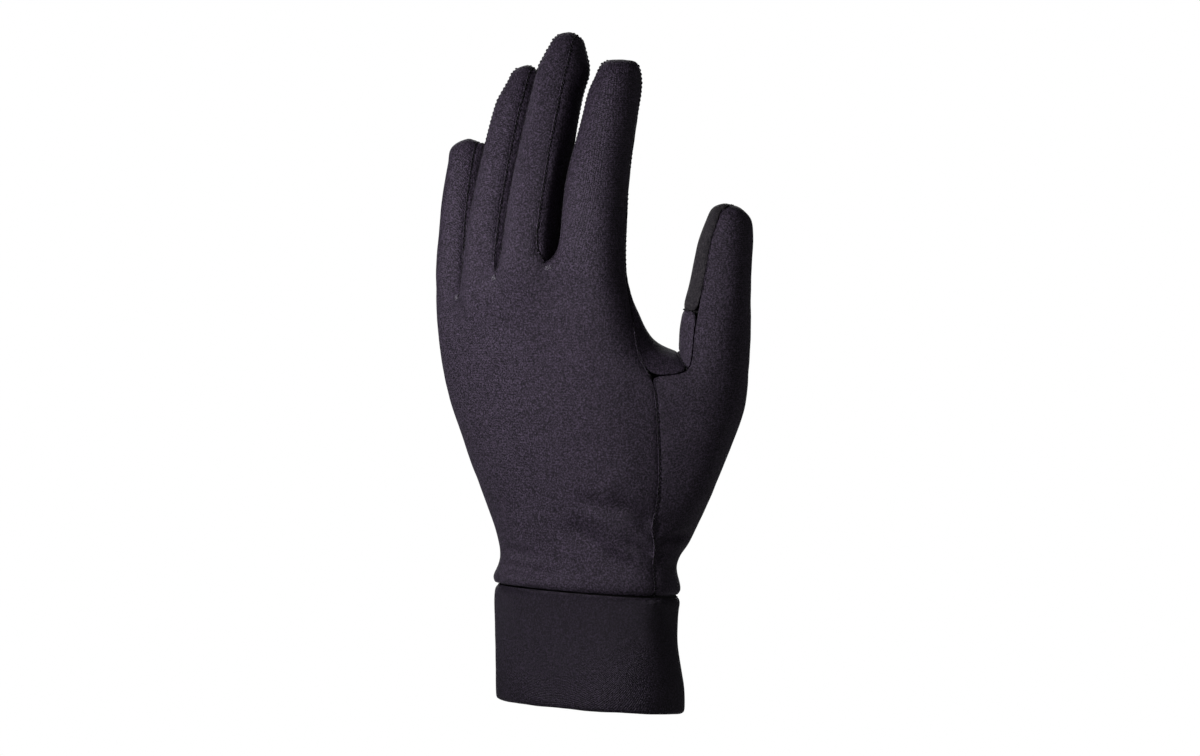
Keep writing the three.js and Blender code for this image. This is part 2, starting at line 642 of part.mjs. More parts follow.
['fourchette_index_middle', 'fourchette_middle_ring', 'fourchette_ring_little'].forEach((name, index) => {
  const down = [...fingers[index].littleSide].reverse();
  const up = fingers[index + 1].thumbSide.slice(1);
  addGrid(name, [...down, ...up]);
});

addGrid('thumb_outer_panel', lower.map((ring) => ring.thumb));
addGrid('thumb_outer_panel', thumb.outer);
addGrid('thumb_inner_panel', thumb.inner.slice(0, THUMB_TOUCH_RING + 2), true);
addGrid('thumb_touch_panel', thumb.inner.slice(THUMB_TOUCH_RING + 1), true);

// Lets the knit even out: each free point moves to the middle of its neighbours and part of the way back
function relaxCloth() {
  const neighbours = points.map(() => new Set());
  for (const list of Object.values(cells)) {
    for (const cell of list) {
      cell.forEach((id, corner) => {
        const next = cell[(corner + 1) % cell.length];
        if (id !== next) {
          neighbours[id].add(next);
          neighbours[next].add(id);
        }
      });
    }
  }
  const pass = (strength) => {
    const moved = points.map((point, id) => {
      if (point.fixed || neighbours[id].size === 0) return point.at.clone();
      const middle = new THREE.Vector3();
      neighbours[id].forEach((other) => middle.add(points[other].at));
      middle.divideScalar(neighbours[id].size);
      return point.at.clone().lerp(middle, strength);
    });
    moved.forEach((at, id) => points[id].at.copy(at));
  };
  for (let count = 0; count < RELAX_PASSES; count += 1) {
    pass(RELAX_OUT);
    pass(RELAX_BACK);
  }
}
relaxCloth();

const trianglesOf = (cell) => [[cell[0], cell[1], cell[2]], [cell[0], cell[2], cell[3]]]
  .filter(([a, b, c]) => a !== b && b !== c && a !== c);

// Outward direction of the cloth at each shared point
for (const list of Object.values(cells)) {
  for (const cell of list) {
    for (const [a, b, c] of trianglesOf(cell)) {
      const across = new THREE.Vector3().subVectors(points[b].at, points[a].at);
      const up = new THREE.Vector3().subVectors(points[c].at, points[a].at);
      const facing = across.cross(up);
      for (const id of [a, b, c]) points[id].normal.add(facing);
    }
  }
}
points.forEach((point) => point.normal.normalize());

// Closed solid of one panel: the outer face, the inner face one wall below it, and the cut edge.
// The edge is drawn in by half the seam gap.
function panelSolid(list) {
  const triangles = list.flatMap(trianglesOf);
  const edges = new Map();
  for (const [a, b, c] of triangles) {
    for (const [from, to] of [[a, b], [b, c], [c, a]]) {
      if (edges.has(`${to},${from}`)) edges.delete(`${to},${from}`);
      else edges.set(`${from},${to}`, [from, to]);
    }
  }
  const draws = new Map();
  for (const [from, to] of edges.values()) {
    const along = new THREE.Vector3().subVectors(points[to].at, points[from].at).normalize();
    for (const id of [from, to]) {
      const inward = new THREE.Vector3().crossVectors(points[id].normal, along).normalize();
      if (!draws.has(id)) draws.set(id, []);
      draws.get(id).push(inward);
    }
  }
  const positions = [];
  const slots = new Map();
  const slotOf = (id) => {
    if (slots.has(id)) return slots.get(id);
    const outer = points[id].at.clone();
    if (draws.has(id)) {
      const middle = new THREE.Vector3();
      draws.get(id).forEach((inward) => middle.add(inward));
      middle.normalize();
      const lean = Math.max(0.35, middle.dot(draws.get(id)[0]));
      outer.addScaledVector(middle, SEAM_GAP / 2 / lean);
    }
    const inner = outer.clone().addScaledVector(points[id].normal, -WALL);
    const slot = positions.length / 3;
    positions.push(outer.x, outer.y, outer.z, inner.x, inner.y, inner.z);
    slots.set(id, slot);
    return slot;
  };
  const faces = [];
  for (const [a, b, c] of triangles) {
    const [i, j, k] = [slotOf(a), slotOf(b), slotOf(c)];
    faces.push(i, j, k, i + 1, k + 1, j + 1);
  }
  for (const [from, to] of edges.values()) {
    const i = slotOf(from);
    const j = slotOf(to);
    // Both panels of a seam split the twisted edge along the same diagonal
    if (from < to) faces.push(i, i + 1, j + 1, i, j + 1, j);
    else faces.push(i, i + 1, j, i + 1, j + 1, j);
  }
  const geometry = new THREE.BufferGeometry();
  geometry.setAttribute('position', new THREE.Float32BufferAttribute(positions, 3));
  geometry.setIndex(faces);
  geometry.computeVertexNormals();
  return geometry;
}

// Cuff: sections of its outer face, then the profile of the folded band
const CUFF_SECTIONS = table(['z', 'middleX', 'middleY', 'halfWidth', 'halfDepth'], [
  [0.0, -0.4, 0.0, 38.4, 23.2],
  [10.0, -1.0, 0.0, 38.0, 23.2],
  [22.0, -2.0, 0.0, 37.2, 22.8],
  [35.0, -2.8, 0.0, 36.6, 22.6],
  [39.5, -2.2, 0.0, 37.4, 22.8],
  [42.6, -1.5, 0.0, 37.0, 22.5],
]);
const CUFF_RINGS = [2.2, 11, 21, 31, 38, 41.3];
const CUFF_BLANK = ['z', 'middleX', 'middleY', 'halfWidth', 'halfDepth'];

function cuffAt(z) {
  let index = 0;
  while (index < CUFF_SECTIONS.length - 2 && z > CUFF_SECTIONS[index + 1].z) index += 1;
  const low = CUFF_SECTIONS[index];
  const high = CUFF_SECTIONS[index + 1];
  const share = clamp((z - low.z) / (high.z - low.z), 0, 1);
  return Object.fromEntries(CUFF_BLANK.map((column) => [column, mix(low[column], high[column], share)]));
}

function cuffGeometry() {
  const thick = 2 * CUFF_LAYER + CUFF_LAYER_GAP;
  const innerSkin = CUFF_LAYER;
  const innerLayer = CUFF_LAYER + CUFF_LAYER_GAP;
  const profile = [];
  profile.push([thick / 2, 0]);
  profile.push([0.35, 0.6]);
  CUFF_RINGS.forEach((z) => profile.push([0, z]));
  profile.push([0.5, CUFF_TOP]);
  profile.push([innerSkin + 0.15, CUFF_TOP]);
  [...CUFF_RINGS].reverse().forEach((z) => profile.push([innerSkin, z]));
  profile.push([thick / 2, CUFF_LAYER + 0.35]);
  CUFF_RINGS.forEach((z) => profile.push([innerLayer, z]));
  profile.push([innerLayer + 0.2, CUFF_TOP]);
  profile.push([thick + 0.2, CUFF_TOP]);
  [...CUFF_RINGS].reverse().forEach((z) => profile.push([thick, z]));
  profile.push([thick - 0.35, 0.6]);
  const positions = [];
  const dual = OVAL_POWER / (OVAL_POWER - 1);
  for (let column = 0; column < CUFF_COLUMNS; column += 1) {
    const angle = 2 * Math.PI * column / CUFF_COLUMNS;
    const nx = Math.cos(angle);
    const ny = Math.sin(angle);
    for (const [depth, z] of profile) {
      const section = cuffAt(z);
      const wide = section.halfWidth * Math.abs(nx);
      const deep = section.halfDepth * Math.abs(ny);
      const reach = (wide ** dual + deep ** dual) ** (1 / dual);
      const x = section.middleX + Math.sign(nx) * section.halfWidth * (wide / reach) ** (dual - 1);
      const y = section.middleY + Math.sign(ny) * section.halfDepth * (deep / reach) ** (dual - 1);
      positions.push(x - nx * depth, y - ny * depth, tilted(x, z));
    }
  }
  const faces = [];
  const count = profile.length;
  for (let column = 0; column < CUFF_COLUMNS; column += 1) {
    const next = (column + 1) % CUFF_COLUMNS;
    for (let index = 0; index < count; index += 1) {
      const after = (index + 1) % count;
      const a = column * count + index;
      const b = next * count + index;
      const c = next * count + after;
      const d = column * count + after;
      faces.push(a, b, c, a, c, d);
    }
  }
  const geometry = new THREE.BufferGeometry();
  geometry.setAttribute('position', new THREE.Float32BufferAttribute(positions, 3));
  geometry.setIndex(faces);
  geometry.computeVertexNormals();
  return geometry;
}

// Materials by piece
const KNIT_COLOUR = 0x2b282f;
const PATCH_COLOUR = 0x232122;
const LOOKS = {
  back_panel: KNIT_COLOUR,
  palm_panel: KNIT_COLOUR,
  fourchette_index_middle: KNIT_COLOUR,
  fourchette_middle_ring: KNIT_COLOUR,
  fourchette_ring_little: KNIT_COLOUR,
  thumb_outer_panel: KNIT_COLOUR,
  thumb_inner_panel: KNIT_COLOUR,
  thumb_touch_panel: PATCH_COLOUR,
  index_touch_panel: PATCH_COLOUR,
};

const group = new THREE.Group();
group.name = 'glove_liner';

function addPiece(name, geometry, colour) {
  const material = new THREE.MeshStandardMaterial({ color: colour, roughness: 0.92, metalness: 0 });
  material.name = `${name}_cloth`;
  const mesh = new THREE.Mesh(geometry, material);
  mesh.name = name;
  group.add(mesh);
}

addPiece('cuff_band', cuffGeometry(), KNIT_COLOUR);
for (const [name, colour] of Object.entries(LOOKS)) {
  addPiece(name, panelSolid(cells[name]), colour);
}

export default group;
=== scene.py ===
import json
import math

import bmesh
import bpy
import numpy as np
from bpy.props import FloatProperty, FloatVectorProperty, PointerProperty
from mathutils import Matrix, Vector, noise
from mathutils.bvhtree import BVHTree
from mathutils.kdtree import KDTree


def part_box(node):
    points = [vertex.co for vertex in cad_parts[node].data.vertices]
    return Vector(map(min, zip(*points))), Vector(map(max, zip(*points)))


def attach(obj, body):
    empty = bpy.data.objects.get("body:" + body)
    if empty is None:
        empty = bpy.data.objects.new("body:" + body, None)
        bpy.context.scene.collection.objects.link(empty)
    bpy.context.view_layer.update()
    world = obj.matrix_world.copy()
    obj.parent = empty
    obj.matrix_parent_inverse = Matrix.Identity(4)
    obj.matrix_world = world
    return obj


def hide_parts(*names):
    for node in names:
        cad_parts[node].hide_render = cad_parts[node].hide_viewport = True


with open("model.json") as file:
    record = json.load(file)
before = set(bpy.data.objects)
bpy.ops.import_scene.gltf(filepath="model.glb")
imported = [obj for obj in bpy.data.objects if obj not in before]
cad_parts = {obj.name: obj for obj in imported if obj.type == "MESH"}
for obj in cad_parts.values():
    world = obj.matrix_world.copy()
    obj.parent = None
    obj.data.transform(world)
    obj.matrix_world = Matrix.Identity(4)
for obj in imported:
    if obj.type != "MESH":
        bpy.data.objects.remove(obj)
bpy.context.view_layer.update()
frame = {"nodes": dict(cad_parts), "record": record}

bl_info = {
    "name": "Knit glove liner",
    "version": (1, 0, 0),
    "blender": (4, 5, 0),
    "location": "3D View > Sidebar > Glove Liner",
    "description": "Dresses a glove liner: knit panels, sewn seams, touch patches and a folded cuff",
    "category": "Object",
}

BODY = "root"
MM = 0.001

# Where the glove is looked at from: the camera's turn and rise, and what the frame shows
VIEW_TURN = math.radians(35)
VIEW_RISE = math.radians(1.0)
FRAME_WIDTH = 0.4411
FRAME_MIDDLE = (0.0033, 0.1206)
SENSOR = 36.0
CAMERA_CLIP = (0.1, 60)
VIEW_RIGHT = Vector((math.cos(VIEW_TURN), math.sin(VIEW_TURN), 0))
VIEW_BACK = Vector((math.sin(VIEW_TURN), -math.cos(VIEW_TURN), 0))
UP = Vector((0, 0, 1))

# The lamps, in metres: how far to the right, towards the camera and up, and what they look at
LAMPS = (
    # name, right, towards the camera, up, height it looks at, width, setting of its power, colour
    ("key_lamp", -0.23, 0.20, 0.22, 0.14, 0.12, "key_power", (1.0, 0.985, 1.0)),
    ("fill_lamp", 1.4, 0.25, 0.425, 0.125, 1.2, "fill_power", (1.0, 1.0, 1.0)),
    ("back_lamp", 0.0, -1.3, 0.525, 0.125, 1.0, "back_power", (1.0, 1.0, 1.0)),
)

HAND_PANELS = ("back_panel", "palm_panel", "thumb_outer_panel", "thumb_inner_panel")
FINGER_STRIPS = ("fourchette_index_middle", "fourchette_middle_ring", "fourchette_ring_little")
TOUCH_PATCHES = ("thumb_touch_panel", "index_touch_panel")
CUFF = "cuff_band"

# The panels' points are merged, their triangles joined to four-sided cells and these made smooth
MERGE_DISTANCE = 2e-6
CELL_FOLD = math.radians(50)
CELL_SHAPE = math.radians(80)
CLOTH_LEVELS = 2

# What tells the rim, the outer and the inner sheet of a panel apart
WALL_RIM, WALL_OUTER, WALL_INNER = 0, 1, 2
PANEL_WALL = 1.2 * MM
WALL_SLACK = 0.002 * MM
CUFF_RIM = 36 * MM
CUFF_RIM_FACING = 0.8
CUFF_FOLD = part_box("cuff_band")[0].z + 0.5 * MM

# The cuff is cut along the little finger's side to be laid flat, within this angle
CUT_SLACK = math.radians(2.5)

# Seams: how near two edges lie, steps along them, and the height below which they end at the cuff
SEAM_REACH = 0.9 * MM
SEAM_STEP = 0.5 * MM
CORE_STEP = 1.2 * MM
CUFF_JOIN = 50 * MM

# The turned-in cloth under the seams, all in multiples of its thickness
CORE_DEPTH = 0.85
CORNER_DEPTHS = (2.6, 1.7)
CORNER_SWELL = 1.6
GROOVE_DEPTH = 1.35
GROOVE_RISE = 0.3
GROOVE_SWELL = 1.3

# Stitches and tacks: length, bend and lift in threads, depth in tucks, and the search for the cloth
STITCH_STRETCH = 2.0
STITCH_BEND = 9
STITCH_DEPTH = 0.8
TACK_STRETCH = 7.0
TACK_LIFT = 1.9
TACK_START = 8 * MM
TACK_REACH = 14 * MM
TACKS = (
    # turn in degrees, aside in mm, lift in mm
    (62, -0.7, -0.6),
    (-58, 0.8, -0.5),
    (24, 0.1, -1.3),
    (-18, -0.2, -0.7),
)

# The cloth's soft waves, and the distances in which the relief fades beside a seam
LONG_WAVE = 17 * MM
SHORT_WAVE = 6.5 * MM
SHORT_SHARE = 0.35
SHORT_SHIFT = Vector((7, 3, 1))
WAVE_FADE = 2.5 * MM
PUCKER_FADE = 1.9 * MM
TUCK_FADE = 1.3 * MM

# Wrinkles seen from the front, in mm in the frame's plane, and how they run out
WRINKLES = (
    # from u, from z, to u, to z, height, half width
    (-6.0, 66.0, 11.0, 53.0, -1.94, 3.2),
    (-2.0, 76.0, 9.5, 72.0, -1.22, 2.8),
    (9.5, 76.5, 23.5, 66.0, -1.66, 3.0),
    (1.0, 71.0, 12.0, 63.0, 0.79, 3.0),
    (12.0, 61.5, 24.5, 56.0, -1.40, 2.4),
    (-31.0, 51.5, -12.0, 49.0, -1.05, 2.0),
    (-33.0, 58.0, -20.0, 55.5, -0.79, 2.2),
    (26.0, 61.0, 35.0, 63.0, -1.59, 1.8),
    (27.0, 55.5, 33.0, 54.0, 0.88, 2.2),
    (-41.0, 172.0, -36.0, 158.0, -0.47, 2.2),
    (-16.5, 160.0, -12.0, 150.0, -0.47, 3.0),
    (16.0, 139.0, 22.0, 128.0, -0.54, 3.0),
    (24.0, 118.0, 36.0, 104.0, -0.61, 3.5),
)
WRINKLE_REACH = 3
WRINKLE_TAPER = 0.4
WRINKLE_FACING = 2

# Index finger in the frame's plane, in mm: middle line, half width and where its side is pushed
INDEX_HEIGHTS = (168.0, 195.0, 219.0)
INDEX_MIDDLE = (1.8, 4.3, 7.5)
INDEX_HALF = 8.0
INDEX_PUSH = 2.2
PUSH_FROM = 153
PUSH_RISE = 12
PUSH_TO = 220
PUSH_FALL = 30
PUSH_SIDE = 3

# Corners of the fingertips, in mm in the frame's plane: the seams draw the tips out or in there
TIP_CORNERS = (
    # u, z, push to the right, push up, reach
    (-15.8, 242.0, 0.9, -0.3, 5.5),
    (-1.8, 242.0, -0.7, -0.3, 5.0),
    (-6.6, 247.4, 0.0, 0.5, 2.6),
    (1.8, 232.0, 1.1, -0.3, 5.5),
    (15.4, 236.7, 0.9, 0.3, 4.0),
    (-32.7, 230.0, 1.1, -0.3, 5.5),
    (-22.9, 235.0, 0.0, 0.9, 3.2),
    (-51.1, 204.5, -1.0, 0.0, 4.0),
    (-45.2, 208.5, 0.0, 0.5, 2.2),
    (41.9, 179.0, 0.9, -0.2, 5.5),
    (57.0, 182.0, -0.7, 0.0, 3.0),
    (49.0, 184.5, 0.0, 0.4, 2.2),
)

# A corner moves nothing beyond this distance, squared and in its own reach
TIP_REACH = 6

# Gloss of the knit, the thread and the floor
KNIT_GLOSS = {
    "Roughness": 0.58,
    "Specular IOR Level": 0.26,
    "Specular Tint": (0.90, 0.80, 1.0, 1),
    "Sheen Roughness": 0.45,
    "Sheen Tint": (0.80, 0.74, 0.95, 1),
}
THREAD_GLOSS = {"Roughness": 0.62, "Specular IOR Level": 0.22}
FLOOR_GLOSS = {
    "Base Color": (0.93, 0.93, 0.93, 1),
    "Roughness": 0.9,
    "Specular IOR Level": 0.0,
    "Emission Color": (1, 1, 1, 1),
}

# Noise textures, each with its scale and detail, and bumps, each with its strength and depth
FIBRE_NOISE = (3600, 3)
SPECK_NOISE = (1600, 1)
PATCH_NOISE = (60, 4)
TWIST_NOISE = (5200, 2)
KNIT_BUMP = (0.8, 0.18 * MM)
THREAD_BUMP = (0.5, 0.06 * MM)

# The knit's loops, and what loops, fibres, specks and patches add to the relief and the colour
LOOP_SLANT = 1.3
LOOP_DEPTH = 0.25
KNIT_HEIGHT = 0.8
FIBRE_HEIGHT = 0.5
SPECK_HEIGHT = 2.4
PATCH_SHADE = 0.30
PATCH_BASE = 0.85
KNIT_SHADE = 2.2
KNIT_MEAN = 0.48
DARKEST_SHADE = 0.10

# The thread's shades as shares of its colour
THREAD_DARK = 0.7
THREAD_LIGHT = 1.4

# Sockets of a Mix node that mixes colours
MIX_A, MIX_B, MIX_RESULT = 6, 7, 2


class ClothSizes(bpy.types.PropertyGroup):
    """Sizes of the cloth's edges, wrinkles, knit and stitches."""

    edge_roll: FloatProperty(
        name="Edge roll", description="How far a panel's edge turns down into its seam",
        default=0.42 * MM, unit="LENGTH", precision=5)
    tuck: FloatProperty(
        name="Tuck", description="How far the cloth sinks towards a seam",
        default=0.38 * MM, unit="LENGTH", precision=5)
    unevenness: FloatProperty(
        name="Unevenness", description="Height of the soft waves all over the cloth",
        default=0.45 * MM, unit="LENGTH", precision=5)
    pucker: FloatProperty(
        name="Pucker", description="Height of the small pulls beside a seam",
        default=0.13 * MM, unit="LENGTH", precision=5)
    wale: FloatProperty(
        name="Wale", description="Width of one column of knit loops",
        default=0.85 * MM, unit="LENGTH", precision=5)
    course: FloatProperty(
        name="Course", description="Height of one row of knit loops",
        default=0.62 * MM, unit="LENGTH", precision=5)
    stitch_pitch: FloatProperty(
        name="Stitch pitch", description="Distance from one stitch of a seam to the next",
        default=1.7 * MM, unit="LENGTH", precision=5)
    thread: FloatProperty(
        name="Thread", description="Thickness of a stitch of the sewing thread",
        default=0.58 * MM, unit="LENGTH", precision=5)
    tack: FloatProperty(
        name="Tack", description="Thickness of the tack threads at the ends of the strips",
        default=0.34 * MM, unit="LENGTH", precision=5)
    seam_core: FloatProperty(
        name="Seam core", description="Thickness of the turned-in cloth under a seam",
        default=1.1 * MM, unit="LENGTH", precision=5)


class ClothColours(bpy.types.PropertyGroup):
    """Colours of the knits and of the thread."""

    hand_knit: FloatVectorProperty(
        name="Hand knit", description="Near black with a violet cast",
        default=(0.0172, 0.0129, 0.0209), subtype="COLOR", size=3, min=0, max=1)
    cuff_knit: FloatVectorProperty(
        name="Cuff knit", description="Slightly darker than the hand",
        default=(0.0070, 0.0052, 0.0091), subtype="COLOR", size=3, min=0, max=1)
    touch_knit: FloatVectorProperty(
        name="Touch knit", description="Neutral dark grey of the conductive yarn",
        default=(0.0125, 0.0116, 0.0120), subtype="COLOR", size=3, min=0, max=1)
    # Black thread, partly painted shade: near black, well below the knit, so that the stitches also
    # stand for the dark stitch holes of the seam
    thread: FloatVectorProperty(
        name="Thread", description="Black sewing thread, sunk into the seam",
        default=(0.0016, 0.0013, 0.0020), subtype="COLOR", size=3, min=0, max=1)
    tack: FloatVectorProperty(
        name="Tack", description="Greyer thread of the tacks between the fingers",
        default=(0.0900, 0.0830, 0.1000), subtype="COLOR", size=3, min=0, max=1)
    # Painted shade: the turned-in edges are the same knit, coloured deep black so that the seams and
    # the cuff's groove look dark
    turned_in_painted_shade: FloatVectorProperty(
        name="Turned-in cloth", description="Deep black of the cloth edges down in a seam",
        default=(0.0050, 0.0040, 0.0055), subtype="COLOR", size=3, min=0, max=1)


class StudioLight(bpy.types.PropertyGroup):
    """The floor, the lamps and the pale surroundings."""

    floor_drop: FloatProperty(
        name="Floor drop", description="How far the floor lies below the cuff",
        default=0.35, unit="LENGTH")
    floor_reach: FloatProperty(
        name="Floor reach", description="Radius of the round floor",
        default=3.0, unit="LENGTH")
    camera_distance: FloatProperty(
        name="Camera distance", description="From the camera to the glove",
        default=4.0, unit="LENGTH")
    key_power: FloatProperty(
        name="Key power", description="Soft lamp near the upper left of the hand",
        default=1.55, unit="POWER")
    fill_power: FloatProperty(
        name="Fill power", description="Wide weak lamp beside the thumb",
        default=2.0, unit="POWER")
    back_power: FloatProperty(
        name="Back power", description="Wide lamp behind, for the palm's side",
        default=5.0, unit="POWER")
    surroundings: FloatProperty(
        name="Surroundings", description="Light that comes from the white room on all sides",
        default=0.042)


def sizes():
    return bpy.context.scene.glove_sizes


def colours():
    return bpy.context.scene.glove_colours


def new_object(name, data):
    """Links a mesh, curve, lamp or camera to the scene as an object."""
    piece = bpy.data.objects.new(name, data)
    bpy.context.scene.collection.objects.link(piece)
    return piece


def finished_piece(name, work, rounded=True):
    """Turns a worked mesh into a piece."""
    for face in work.faces:
        face.smooth = rounded
    mesh = bpy.data.meshes.new(name)
    work.to_mesh(mesh)
    work.free()
    return new_object(name, mesh)


def evaluated_mesh(piece):
    """A copy of the mesh that a piece's modifiers or its curve make."""
    bpy.context.view_layer.update()
    graph = bpy.context.evaluated_depsgraph_get()
    return bpy.data.meshes.new_from_object(piece.evaluated_get(graph))


def only_active(piece):
    """Makes a piece the only selected and the active one."""
    for other in bpy.context.selected_objects:
        other.select_set(False)
    piece.select_set(True)
    bpy.context.view_layer.objects.active = piece


# The walls of a panel: outer sheet, inner sheet and the rim between them

def flood(start, found):
    """Faces that can be reached from a face without crossing a tagged edge."""
    group = []
    waiting = [start]
    found.add(start)
    while waiting:
        face = waiting.pop()
        group.append(face)
        for edge in face.edges:
            if edge.tag:
                continue
            for other in edge.link_faces:
                if other not in found:
                    found.add(other)
                    waiting.append(other)
    return group


def hollow_centres():
    """Points inside the glove, from the record's stated openings."""
    openings = frame["record"]["physics"]["openings"]
    return [(Vector(o["box_m"][0]) + Vector(o["box_m"][1])) / 2 for o in openings]


def faces_out(group, centres):
    """True if a sheet's faces look away from the hollow."""
    total = 0.0
    for face in group:
        middle = face.calc_center_median()
        nearest = min(centres, key=lambda c: (c - middle).length_squared)
        total += face.calc_area() * face.normal.dot((middle - nearest).normalized())
    return total > 0


def is_rim(face, node):
    """True for a face that crosses from the outer sheet to the inner one."""
    if node == CUFF:
        upward = face.normal.z > CUFF_RIM_FACING
        return upward and min(vert.co.z for vert in face.verts) > CUFF_RIM
    return any(abs(edge.calc_length() - PANEL_WALL) < WALL_SLACK for edge in face.edges)


def tag_walls(work, node):
    """Writes on each face whether it is rim, outer or inner sheet."""
    layer = work.faces.layers.int.new("wall")
    work.normal_update()
    for face in work.faces:
        face.tag = not is_rim(face, node)
    for edge in work.edges:
        edge.tag = len({face.tag for face in edge.link_faces}) > 1
    centres = hollow_centres()
    found = set()
    for face in work.faces:
        if not face.tag or face in found:
            continue
        group = flood(face, found)
        if node == CUFF:
            outer = min(vert.co.z for member in group for vert in member.verts) < CUFF_FOLD
        else:
            outer = faces_out(group, centres)
        for member in group:
            member[layer] = WALL_OUTER if outer else WALL_INNER
    return layer


def panel_mesh(node):
    """A merged copy of a node with four-sided cells and tagged walls."""
    work = bmesh.new()
    work.from_mesh(frame["nodes"][node].data)
    bmesh.ops.remove_doubles(work, verts=work.verts, dist=MERGE_DISTANCE)
    layer = tag_walls(work, node)
    for kind in (WALL_RIM, WALL_OUTER, WALL_INNER):
        bmesh.ops.join_triangles(
            work, faces=[face for face in work.faces if face[layer] == kind],
            angle_face_threshold=CELL_FOLD, angle_shape_threshold=CELL_SHAPE)
    return work


def wall_borders(work):
    """Closed runs of points along the outer sheet's edge, each with its outward direction."""
    layer = work.faces.layers.int["wall"]
    border = set()
    for edge in work.edges:
        kinds = [face[layer] for face in edge.link_faces]
        if len(kinds) == 2 and WALL_OUTER in kinds and kinds[0] != kinds[1]:
            border.add(edge)
    runs = []
    while border:
        edge = border.pop()
        first, here = edge.verts
        run = [first, here]
        while here is not first:
            following = [e for e in here.link_edges if e in border]
            if not following:
                break
            border.discard(following[0])
            here = following[0].other_vert(here)
            run.append(here)
        points = []
        for vert in run:
            outward = Vector()
            for face in vert.link_faces:
                if face[layer] == WALL_OUTER:
                    outward += face.normal
            points.append((vert.co.copy(), outward.normalized()))
        runs.append(points)
    return runs


# The knit's own map: each sheet is laid flat, turned upright and scaled to metres

def mark_cuts(work, round_piece):
    """Cuts for laying flat: where the walls meet the rim, and down one side of a ring."""
    layer = work.faces.layers.int["wall"]
    for edge in work.edges:
        kinds = {face[layer] for face in edge.link_faces}
        edge.seam = len(kinds) > 1
    if round_piece:
        turns = {v: math.atan2(v.co.y, v.co.x) for v in work.verts}
        cut = min(work.verts, key=lambda v: abs(abs(turns[v]) - math.pi))
        for edge in work.edges:
            if all(abs(turns[v] - turns[cut]) < CUT_SLACK for v in edge.verts):
                edge.seam = True


def flat_area(island, flat):
    """Area of a sheet in the map, below 0 where it lies mirrored."""
    total = 0.0
    for face in island:
        corners = [loop[flat].uv for loop in face.loops]
        for a, b in zip(corners, corners[1:] + corners[:1]):
            total += (a.x * b.y - b.x * a.y) / 2
    return total


def set_upright(island, flat):
    """Turns a flat sheet until its wales stand upright and scales it to its real area."""
    loops = [loop for face in island for loop in face.loops]
    places = np.array([loop[flat].uv[:] for loop in loops])
    heights = np.array([loop.vert.co.z for loop in loops])
    system = np.column_stack([places, np.ones(len(places))])
    lean_u, lean_v, _ = np.linalg.lstsq(system, heights, rcond=None)[0]
    turn = math.atan2(lean_u, lean_v)
    area = flat_area(island, flat)
    grow = math.sqrt(sum(face.calc_area() for face in island) / max(abs(area), 1e-12))
    mirror = -1 if area < 0 else 1
    cos = math.cos(turn) * grow
    sin = math.sin(turn) * grow
    middle = places.mean(axis=0)
    for loop in loops:
        u = loop[flat].uv[0] - middle[0]
        v = loop[flat].uv[1] - middle[1]
        loop[flat].uv = (mirror * (u * cos - v * sin), u * sin + v * cos)


def lay_flat(piece):
    """Unwraps the piece's sheets and sets each upright at real size."""
    only_active(piece)
    bpy.ops.object.mode_set(mode="EDIT")
    bpy.ops.mesh.select_all(action="SELECT")
    bpy.ops.uv.unwrap(method="CONFORMAL", margin=0.01)
    bpy.ops.object.mode_set(mode="OBJECT")
    work = bmesh.new()
    work.from_mesh(piece.data)
    for edge in work.edges:
        edge.tag = edge.seam
    found = set()
    for start in work.faces:
        if start not in found:
            set_upright(flood(start, found), work.loops.layers.uv.active)
    work.to_mesh(piece.data)
    work.free()


# Seams: where two panels' edges run side by side

def facing_spot(name, point, spots, tree):
    """The nearest edge point of another panel, as (its panel, its number, distance), or None."""
    nearest = None
    for _, index, distance in tree.find_range(point, SEAM_REACH):
        other = spots[index][0]
        if other != name and (nearest is None or distance < nearest[2]):
            nearest = (other, index, distance)
    return nearest


def point_tree(points):
    """A search tree over points."""
    tree = KDTree(len(points))
    for index, point in enumerate(points):
        tree.insert(point, index)
    tree.balance()
    return tree


def seam_runs(borders):
    """Runs of middle points between two panels, as (first panel, second panel, points)."""
    names = sorted(borders)
    spots = [(name, *spot) for name in names for run in borders[name] for spot in run]
    tree = point_tree([point for _, point, _ in spots])
    runs = []
    for name in names:
        for run in borders[name]:
            current = []
            partner = None
            for point, outward in run + run[1:2]:
                match = facing_spot(name, point, spots, tree)
                other = match[0] if match else None
                if other is not None and other < name:
                    other = None
                if other != partner:
                    if len(current) > 2:
                        runs.append((name, partner, current))
                    current = []
                    partner = other
                if other is not None:
                    _, there, facing = spots[match[1]]
                    current.append(((point + there) / 2, (outward + facing).normalized()))
            if len(current) > 2:
                runs.append((name, partner, current))
    return runs


def even_steps(points, step):
    """Points at even distances along a run, each with its outward and forward direction."""
    lengths = [0.0]
    for (a, _), (b, _) in zip(points, points[1:]):
        lengths.append(lengths[-1] + (b - a).length)
    count = max(2, round(lengths[-1] / step))
    spaced = []
    index = 0
    for number in range(count + 1):
        target = lengths[-1] * number / count
        while index < len(points) - 2 and lengths[index + 1] < target:
            index += 1
        span = max(lengths[index + 1] - lengths[index], 1e-9)
        share = (target - lengths[index]) / span
        a, out_a = points[index]
        b, out_b = points[index + 1]
        outward = out_a.lerp(out_b, share).normalized()
        spaced.append((a.lerp(b, share), outward, (b - a).normalized()))
    return spaced


# The cloth's relief: soft waves, pulls beside the seams and the wrinkles that the hand makes

